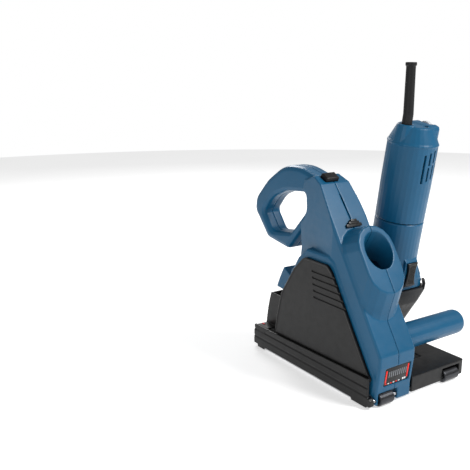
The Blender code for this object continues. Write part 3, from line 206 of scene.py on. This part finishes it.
def carve(item, cuts):
    """Takes the design-frame shapes away from the item."""
    tools = [from_shape("tool_%d" % index, shape) for index, shape in enumerate(cuts)]
    for tool in tools:
        step = item.modifiers.new(tool.name, "BOOLEAN")
        step.operation = "DIFFERENCE"
        step.solver = "EXACT"
        step.object = tool
    bake(item)
    for tool in tools:
        mesh = tool.data
        bpy.data.objects.remove(tool, do_unlink=True)
        bpy.data.meshes.remove(mesh)


def copy_node(node):
    """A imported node's mesh as a new object, its flat areas merged into single faces."""
    mesh = frame["nodes"][node].data.copy()
    shape = bmesh.new()
    shape.from_mesh(mesh)
    bmesh.ops.remove_doubles(shape, verts=shape.verts, dist=1e-6)
    bmesh.ops.dissolve_limit(shape, angle_limit=FLAT_LIMIT, verts=shape.verts, edges=shape.edges)
    shape.to_mesh(mesh)
    shape.free()
    mesh.materials.clear()
    return new_object(node + "_fine", mesh)


def settle(item, node, material):
    """The item takes the node's place, body and slot."""
    item.data.materials.clear()
    item.data.materials.append(material)
    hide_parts(node)
    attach(item, BODY_OF[node])
    return item


def soften(node, material, voxel, rounds, keep=0.5):
    """A moulded or cast look: all edges of the node become small round ones."""
    item = copy_node(node)
    remesh = item.modifiers.new("remesh", "REMESH")
    remesh.mode = "VOXEL"
    remesh.voxel_size = voxel * MM * 1.0
    relax = item.modifiers.new("relax", "SMOOTH")
    relax.factor = 0.5
    relax.iterations = rounds
    thin = item.modifiers.new("thin", "DECIMATE")
    thin.ratio = keep
    bake(item)
    item.data.shade_smooth()
    return settle(item, node, material)


def bevel(node, material, width, segments=2, cuts=()):
    """A machined look: crisp faces with fine bevelled edges."""
    item = copy_node(node)
    if cuts:
        carve(item, cuts)
    finish_edges(item, width, segments)
    return settle(item, node, material)


def finish_edges(item, width, segments):
    """Bevels every edge sharper than the limit and shades the rest smooth."""
    edges = item.modifiers.new("bevel", "BEVEL")
    edges.width = width * MM
    edges.segments = segments
    edges.limit_method = "ANGLE"
    edges.angle_limit = BEVEL_LIMIT
    edges.use_clamp_overlap = True
    edges.harden_normals = False
    bake(item)
    item.data.shade_smooth()
    item.data.set_sharp_from_angle(angle=SHARP_BEVELLED)


def detail(name, shape, body, slot, material, width=0.0, segments=2):
    """A new small piece on a body."""
    item = from_shape(name, shape)
    if width:
        finish_edges(item, width, segments)
    else:
        item.data.shade_smooth()
        item.data.set_sharp_from_angle(angle=SHARP_PLAIN)
    item.data.materials.append(material)
    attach(item, body)
    return item


# ---------------------------------------------------------------- materials

SOFT_GLOSS = 0.34


def linear(red, green, blue):
    """A display colour, 0 to 255, as the linear values that shaders take."""
    values = []
    for value in (red, green, blue):
        part = value / 255.0
        values.append(part / 12.92 if part <= 0.04045 else ((part + 0.055) / 1.055) ** 2.4)
    return (*values, 1.0)


class Nodes:
    """Short calls for building a node tree."""

    def __init__(self, name):
        self.material = bpy.data.materials.new(name)
        self.material.use_nodes = True
        self.tree = self.material.node_tree
        self.shader = self.tree.nodes["Principled BSDF"]
        self.place = self.tree.nodes.new("ShaderNodeTexCoord").outputs["Object"]

    def add(self, kind, **values):
        node = self.tree.nodes.new(kind)
        for key, value in values.items():
            if key in node.inputs:
                node.inputs[key].default_value = value
            else:
                setattr(node, key, value)
        return node

    def link(self, source, target):
        self.tree.links.new(source, target)

    def noise(self, scale, detail=3.0, stretch=None, roughness=0.5):
        node = self.add("ShaderNodeTexNoise", Scale=scale, Detail=detail, Roughness=roughness)
        if stretch:
            mapping = self.add("ShaderNodeMapping", Scale=stretch)
            self.link(self.place, mapping.inputs["Vector"])
            self.link(mapping.outputs["Vector"], node.inputs["Vector"])
        else:
            self.link(self.place, node.inputs["Vector"])
        return node.outputs["Fac"]

    def spread(self, source, low, high, start=0.3, end=0.7):
        node = self.add("ShaderNodeMapRange")
        for key, value in (("From Min", start), ("From Max", end), ("To Min", low), ("To Max", high)):
            node.inputs[key].default_value = value
        self.link(source, node.inputs["Value"])
        return node.outputs["Result"]

    def blend(self, factor, first, second):
        node = self.add("ShaderNodeMix", data_type="RGBA")
        self.link(factor, node.inputs["Factor"])
        for socket, value in zip((node.inputs[6], node.inputs[7]), (first, second)):
            if isinstance(value, tuple):
                socket.default_value = value
            else:
                self.link(value, socket)
        return node.outputs[2]

    def bump(self, layers):
        """Height layers as (source, distance in millimetres)."""
        normal = None
        for source, distance in layers:
            node = self.add("ShaderNodeBump", Strength=1.0, Distance=distance * MM)
            self.link(source, node.inputs["Height"])
            if normal:
                self.link(normal, node.inputs["Normal"])
            normal = node.outputs["Normal"]
        self.link(normal, self.shader.inputs["Normal"])


def grey(value):
    return linear(value, value, value)


def tinted(colour, factor):
    """The colour made darker or lighter."""
    return tuple(min(1.0, value * factor) for value in colour[:3]) + (1.0,)


def plastic(name, colour, roughness, grain, depth, wear_and_highlight=1.35):
    """Moulded plastic: fine spark-eroded grain, cloudy gloss, and paler sharp edges that are partly edge
    wear and partly a painted highlight.
    """
    nodes = Nodes(name)
    cloud = nodes.spread(nodes.noise(14.0, 4.0), 0.0, 1.0)
    body = nodes.blend(cloud, tinted(colour, 0.93), tinted(colour, 1.06))
    edge = nodes.add("ShaderNodeNewGeometry").outputs["Pointiness"]
    # Painted highlight and wear: the base colour turns paler on sharp convex edges, which pointiness finds.
    wear_and_highlight_mask = nodes.spread(edge, 0.0, 0.55, 0.53, 0.62)
    nodes.link(nodes.blend(wear_and_highlight_mask, body, tinted(colour, wear_and_highlight)), nodes.shader.inputs["Base Color"])
    scuff = nodes.noise(95.0, 5.0, roughness=0.7)
    nodes.link(nodes.spread(scuff, roughness - 0.06, roughness + 0.09), nodes.shader.inputs["Roughness"])
    nodes.bump([(nodes.noise(grain, 2.0), depth), (nodes.noise(60.0, 2.0), 0.03)])
    nodes.shader.inputs["Specular IOR Level"].default_value = SOFT_GLOSS
    return nodes.material


def metal(name, colour, roughness, stretch, streak=0.004):
    """Turned, ground or rolled metal, its fine marks drawn out along one direction."""
    nodes = Nodes(name)
    marks = nodes.noise(900.0, 3.0, stretch, 0.6)
    cloud = nodes.noise(30.0, 4.0)
    nodes.link(nodes.blend(nodes.spread(cloud, 0.0, 1.0), tinted(colour, 0.85), tinted(colour, 1.2)),
               nodes.shader.inputs["Base Color"])
    nodes.link(nodes.spread(marks, roughness - 0.08, roughness + 0.12), nodes.shader.inputs["Roughness"])
    nodes.bump([(marks, streak)])
    nodes.shader.inputs["Metallic"].default_value = 1.0
    return nodes.material


def casting(name, colour):
    """Painted die casting: fine orange peel and a coarser cast skin below it."""
    nodes = Nodes(name)
    cloud = nodes.spread(nodes.noise(40.0, 4.0), 0.0, 1.0)
    nodes.link(nodes.blend(cloud, tinted(colour, 0.85), tinted(colour, 1.2)),
               nodes.shader.inputs["Base Color"])
    nodes.link(nodes.spread(nodes.noise(160.0, 4.0), 0.34, 0.5), nodes.shader.inputs["Roughness"])
    nodes.bump([(nodes.noise(520.0, 3.0), 0.03), (nodes.noise(90.0, 2.0), 0.08)])
    nodes.shader.inputs["Specular IOR Level"].default_value = SOFT_GLOSS
    return nodes.material


def laminations(name, colour, pitch):
    """Thin sheets stacked along the motor's axis."""
    nodes = Nodes(name)
    scale = 1.0 / (pitch * MM) / 6.28
    bands = nodes.add("ShaderNodeTexWave", Scale=scale, Distortion=0.2, bands_direction="Z")
    nodes.link(nodes.place, bands.inputs["Vector"])
    nodes.link(nodes.blend(bands.outputs["Fac"], tinted(colour, 0.5), colour),
               nodes.shader.inputs["Base Color"])
    nodes.link(nodes.spread(nodes.noise(80.0), 0.4, 0.6), nodes.shader.inputs["Roughness"])
    nodes.bump([(bands.outputs["Fac"], 0.05)])
    nodes.shader.inputs["Metallic"].default_value = 0.8
    return nodes.material


def grit(name, colour):
    """Sintered segments with diamond grains standing out of the bond."""
    nodes = Nodes(name)
    grains = nodes.add("ShaderNodeTexVoronoi", Scale=1400.0)
    nodes.link(nodes.place, grains.inputs["Vector"])
    spots = nodes.spread(grains.outputs["Distance"], 1.0, 0.0, 0.1, 0.5)
    nodes.link(nodes.blend(spots, tinted(colour, 0.6), tinted(colour, 1.5)),
               nodes.shader.inputs["Base Color"])
    nodes.link(nodes.spread(nodes.noise(300.0), 0.45, 0.75), nodes.shader.inputs["Roughness"])
    nodes.bump([(spots, 0.12)])
    nodes.shader.inputs["Metallic"].default_value = 0.5
    return nodes.material


BLUE = linear(14, 84, 120)
LOOKS = {
    "blue_plastic": plastic("blue_plastic_look", BLUE, 0.36, 1500.0, 0.015),
    "black_plastic": plastic("black_plastic_look", linear(13, 13, 14), 0.4, 1100.0, 0.03, 1.8),
    "cast_metal": casting("cast_metal_look", linear(17, 17, 18)),
    "steel": metal("steel_look", linear(190, 191, 194), 0.3, (1.0, 0.12, 0.12)),
    "dark_steel": metal("dark_steel_look", linear(70, 71, 74), 0.34, (0.1, 1.0, 1.0)),
    "sheet_steel": metal("sheet_steel_look", linear(200, 201, 203), 0.32, (1.0, 0.06, 1.0)),
    "rubber": plastic("rubber_look", linear(15, 15, 16), 0.5, 700.0, 0.04, 1.5),
    "red_plastic": plastic("red_plastic_look", linear(222, 34, 26), 0.4, 1300.0, 0.02),
    "grey_plastic": plastic("grey_plastic_look", linear(198, 200, 203), 0.42, 1300.0, 0.02, 1.1),
    "laminated_iron": laminations("laminated_iron_look", linear(110, 110, 114), 0.7),
    "copper": metal("copper_look", linear(196, 118, 78), 0.3, (1.0, 1.0, 0.1)),
    "carbon": plastic("carbon_look", linear(40, 40, 42), 0.7, 800.0, 0.05),
    "diamond_disc": metal("diamond_disc_look", linear(150, 152, 156), 0.33, (1.0, 0.2, 0.2), 0.006),
}
SEGMENT_LOOK = grit("segment_look", linear(120, 112, 98))
MARK_LOOK = plastic("mark_look", linear(226, 228, 230), 0.5, 900.0, 0.01, 1.05)
TICK_LOOK = plastic("tick_look", linear(120, 123, 128), 0.5, 900.0, 0.01, 1.05)


# ---------------------------------------------------------------- pieces

def build_hood():
    for node in ("hood_left_shell", "hood_right_shell"):
        soften(node, LOOKS["blue_plastic"], 0.9, 5, 0.5)


def build_base():
    soften("base_frame", LOOKS["black_plastic"], 0.8, 3, 0.4)
    soften("side_cover", LOOKS["black_plastic"], 0.5, 2, 0.4)
    bevel("sole_plate", LOOKS["sheet_steel"], 0.25)


def build_motor():
    soften("motor_housing", LOOKS["blue_plastic"], 0.7, 4, 0.5)
    soften("rear_cover", LOOKS["blue_plastic"], 0.6, 4, 0.5)
    soften("gear_housing", LOOKS["cast_metal"], 0.8, 4, 0.5)
    soften("cord_sleeve", LOOKS["rubber"], 0.5, 4, 0.5)
    soften("aux_handle", LOOKS["blue_plastic"], 0.8, 8, 0.5)


def switch_grooves():
    """Five grooves along the slide switch, where the thumb pushes."""
    low = SWITCH_S - 15.0
    high = SWITCH_S + 15.0
    bars = [box((x - 0.5, SWITCH_FACE - 3.5, low), (x + 0.5, SWITCH_FACE, high))
            for x in (-5.0, -2.5, 0.0, 2.5, 5.0)]
    return moved(merge(bars), TO_MOTOR)


def dial_grooves():
    """Thumb grooves round the speed dial."""
    bars = []
    for step in range(DIAL_GROOVES):
        turn = Matrix.Rotation(math.tau * (step + 0.5) / DIAL_GROOVES, 4, "X")
        bar = box((DIAL_X - 4.0, -0.5, 11.3), (DIAL_X + 4.0, 0.5, 14.0))
        bars.append(moved(bar, Matrix.Translation((0.0, 0.0, DIAL_S)) @ turn))
    return moved(merge(bars), TO_MOTOR)


def build_small_parts():
    for node in ("release_button", "depth_slider"):
        bevel(node, LOOKS["black_plastic"], 0.7, 3)
    bevel("switch_slider", LOOKS["black_plastic"], 0.3, 2, cuts=[switch_grooves()])
    bevel("spindle_lock_button", LOOKS["black_plastic"], 0.6, 3)
    bevel("speed_dial", LOOKS["grey_plastic"], 0.25, 2, cuts=[dial_grooves()])
    for node in ("front_left_roller", "front_right_roller", "rear_left_roller", "rear_right_roller"):
        soften(node, LOOKS["dark_steel"], 0.35, 5, 0.5)


def cross_recess(axis, centre, height, reach, depth):
    """A cross-shaped screwdriver recess sunk from height against the axis."""
    bars = []
    for wide, long in ((0.55, reach), (reach, 0.55)):
        outline = [(centre[0] - wide, centre[1] - long), (centre[0] + wide, centre[1] - long),
                   (centre[0] + wide, centre[1] + long), (centre[0] - wide, centre[1] + long)]
        bars.append(prism(axis, outline, height - depth, height + 2.0))
    return bars


def build_screws():
    """Rounded screw heads with cross recesses."""
    for index, place in enumerate(HOOD_SCREW_PLACES):
        cuts = cross_recess("x", place, HOOD_SCREW_FACE, 2.2, 1.8)
        bevel("hood_screw_%d" % (index + 1), LOOKS["steel"], 0.4, 2, cuts=cuts)
    places = [(x, y) for x in (-GEAR_SCREW, GEAR_SCREW) for y in (-GEAR_SCREW, GEAR_SCREW)]
    for index, place in enumerate(places):
        cuts = [moved(bar, TO_MOTOR) for bar in cross_recess("z", place, GEAR_SCREW_FACE, 2.4, 1.8)]
        bevel("gear_screw_%d" % (index + 1), LOOKS["steel"], 0.4, 2, cuts=cuts)
    cuts = [moved(bar, TO_MOTOR) for bar in cross_recess("z", REAR_SCREW_PLACE, REAR_SCREW_FACE, 2.0, 1.4)]
    bevel("rear_cover_screw", LOOKS["steel"], 0.35, 2, cuts=cuts)
    for node, y in COVER_SCREW_PLACES:
        cuts = cross_recess("x", (y, COVER_SCREW_Z), COVER_SCREW_FACE, 2.0, 1.0)
        bevel(node, LOOKS["steel"], 0.25, 2, cuts=cuts)


def build_spring():
    """A fine coil of steel wire that takes the plunge spring's place and body."""
    per_turn = 36
    steps = SPRING_TURNS * per_turn
    sides = [math.tau * index / 10 for index in range(10)]
    rows = []
    for step in range(steps + 1):
        angle = math.tau * step / per_turn
        out = Vector((math.cos(angle), math.sin(angle), 0.0))
        height = SPRING_LOW + (SPRING_HIGH - SPRING_LOW) * step / steps
        centre = Vector((0.0, SPRING_Y, height)) + out * SPRING_RADIUS
        rows.append([centre + out * (SPRING_WIRE * math.cos(side))
                     + Vector((0.0, 0.0, SPRING_WIRE * math.sin(side))) for side in sides])
    coil = from_shape("plunge_spring_fine", loft(rows))
    coil.data.shade_smooth()
    settle(coil, "plunge_spring", LOOKS["steel"])
    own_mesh(coil)


def rim_points(radius, angles):
    return [(SPINDLE_Y + radius * math.cos(angle), SPINDLE_Z + radius * math.sin(angle)) for angle in angles]


def build_segments():
    """Sintered diamond segments on the rims of both discs, a little thicker than the disc."""
    pitch = 360.0 / RIM_SEGMENTS
    gap = 2.2
    proud = 0.25
    for name, low in DISC_FACES.items():
        blocks = []
        for index in range(RIM_SEGMENTS):
            angles = [math.radians(pitch * index + gap + (pitch - 2 * gap) * step / 8) for step in range(9)]
            outline = rim_points(RIM_OUTER, angles) + rim_points(RIM_INNER, angles)[::-1]
            blocks.append(prism("x", outline, low - proud, low + DISC_THICKNESS + proud))
        detail(name + "_segments", merge(blocks), "cutting_spindle", "diamond_disc", SEGMENT_LOOK, 0.15, 1)


def winding_ring(radius, height):
    """A round coil of wire about the motor's axis."""
    coil = 3.2
    turns = [math.tau * step / 12 for step in range(12)]
    profile = [(radius + coil * math.cos(turn), height + coil * math.sin(turn)) for turn in turns]
    return moved(turned("z", (0.0, 0.0), profile, 48), TO_MOTOR)


def build_windings():
    """Copper end windings on the stator and the armature, and the commutator's bars."""
    for name, body, radius, heights in (("stator_winding", "hood", 26.0, (64.5, 131.5)),
                                        ("armature_winding", "armature", 12.0, (65.5, 130.5))):
        rings = [winding_ring(radius, height) for height in heights]
        detail(name, merge(rings), body, "copper", LOOKS["copper"])
    low, high = COMMUTATOR_ENDS
    gaps = []
    for step in range(COMMUTATOR_BARS):
        turn = Matrix.Rotation(math.tau * step / COMMUTATOR_BARS, 4, "Z")
        gaps.append(moved(box((11.2, -0.3, low), (14.0, 0.3, high)), turn))
    bevel("commutator", LOOKS["copper"], 0.12, 1, cuts=[moved(merge(gaps), TO_MOTOR)])


def plate_mark(name, boxes, slot, material):
    """Marks printed a little proud of the front sight plate."""
    shapes = [box((left, -1.5, low), (right, -1.2, high)) for left, low, right, high in boxes]
    for shape in shapes:
        moved(shape, Matrix.Translation((-FACE_MIDDLE.x, 0.0, -FACE_MIDDLE.z)))
    detail(name, moved(merge(shapes), TO_PLATE), "hood", slot, material, 0.08, 1)


def build_plate_marks():
    """Red cut lines, a grey comb scale, a broken line along the bottom and small squares."""
    red = [(-20.0, 32.5, -17.4, 51.5), (21.4, 32.5, 24.0, 53.0)]
    red += [(x, 30.0, x + 3.2, 31.4) for x in (-19.0, -9.0, 1.0)]
    white = [(x, 30.0, x + 3.2, 31.4) for x in (-14.0, -4.0, 6.0)]
    white += [(14.0, 30.0, 17.0, 33.0), (18.2, 30.0, 20.6, 33.0)]
    ticks = [(-14.0 + 4.0 * index, 40.0, -12.2 + 4.0 * index, 49.0) for index in range(9)]
    plate_mark("sight_plate_red", red, "red_plastic", LOOKS["red_plastic"])
    plate_mark("sight_plate_white", white, "grey_plastic", MARK_LOOK)
    plate_mark("sight_plate_scale", ticks, "grey_plastic", TICK_LOOK)


def build_rest():
    """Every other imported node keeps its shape, with fine bevelled edges."""
    for node, item in frame["nodes"].items():
        if item.hide_render:
            continue
        bevel(node, LOOKS[SLOT_OF[node]], 0.2)


# ---------------------------------------------------------------- camera and light

WHITE = (1.0, 1.0, 1.0, 1.0)
FLOOR_RADIUS = 3000.0
FLOOR_GLOW = 0.5
SKY_LIGHT = 0.36
# Each lamp has its name, place and target in metres, its diameter and its power in watts.
LAMPS = (
    ("key", (0.75, -1.2, 1.6), (0.0, 0.0, 0.15), 0.6, 34.0),
    ("fill", (-1.5, -0.6, 0.7), (0.0, 0.0, 0.15), 1.0, 4.0),
    ("rim", (0.5, 1.4, 1.2), (0.0, 0.0, 0.2), 0.8, 14.0),
)

CAMERA_PLACE = Vector((-642.9, -578.3, 442.0))
CAMERA_YAW = math.radians(33.7)
CAMERA_PITCH = math.radians(13.9)
LENS = 51.01


def make_camera():
    """A camera level with the tool's top, in front of it and to its left."""
    camera = bpy.data.objects.new("camera", bpy.data.cameras.new("camera"))
    bpy.context.scene.collection.objects.link(camera)
    camera.location = TO_FRAME @ CAMERA_PLACE
    camera.rotation_euler = (math.pi / 2 - CAMERA_PITCH, 0.0, -CAMERA_YAW)
    camera.data.lens = LENS
    camera.data.clip_start = 0.01
    bpy.context.scene.camera = camera


def area_light(name, place, target, size, power):
    lamp = bpy.data.lights.new(name, "AREA")
    lamp.shape = "DISK"
    lamp.size = size
    lamp.energy = power
    item = bpy.data.objects.new(name, lamp)
    bpy.context.scene.collection.objects.link(item)
    item.location = place
    item.rotation_euler = (Vector(target) - Vector(place)).to_track_quat("-Z", "Y").to_euler()


def make_floor():
    """A wide pale disc just under the base; its own glow keeps the far part light."""
    top = -0.05
    rim = [(0, top), (FLOOR_RADIUS, top), (FLOOR_RADIUS, top - 10.0), (0, top - 10.0)]
    item = from_shape("floor", turned("z", (0.0, 0.0), rim, 96))
    nodes = Nodes("floor_look")
    pale = nodes.spread(nodes.noise(2.0), 0.0, 1.0)
    nodes.link(nodes.blend(pale, grey(222), grey(228)), nodes.shader.inputs["Base Color"])
    nodes.shader.inputs["Roughness"].default_value = 0.95
    nodes.shader.inputs["Emission Color"].default_value = WHITE
    nodes.shader.inputs["Emission Strength"].default_value = FLOOR_GLOW
    item.data.materials.append(nodes.material)


def make_sky():
    """Soft light from all sides that is weaker than the white backdrop the camera sees."""
    world = bpy.data.worlds.new("studio")
    world.use_nodes = True
    tree = world.node_tree
    background = tree.nodes["Background"]
    background.inputs["Color"].default_value = WHITE
    sight = tree.nodes.new("ShaderNodeLightPath")
    strength = tree.nodes.new("ShaderNodeMapRange")
    strength.inputs["To Min"].default_value = SKY_LIGHT
    strength.inputs["To Max"].default_value = 1.0
    tree.links.new(sight.outputs["Is Camera Ray"], strength.inputs["Value"])
    tree.links.new(strength.outputs["Result"], background.inputs["Strength"])
    bpy.context.scene.world = world
    bpy.context.scene.view_settings.view_transform = "Standard"


make_camera()
make_floor()
make_sky()
for lamp_row in LAMPS:
    area_light(*lamp_row)
build_hood()
build_base()
build_motor()
build_small_parts()
build_screws()
build_spring()
build_segments()
build_windings()
build_plate_marks()
build_rest()
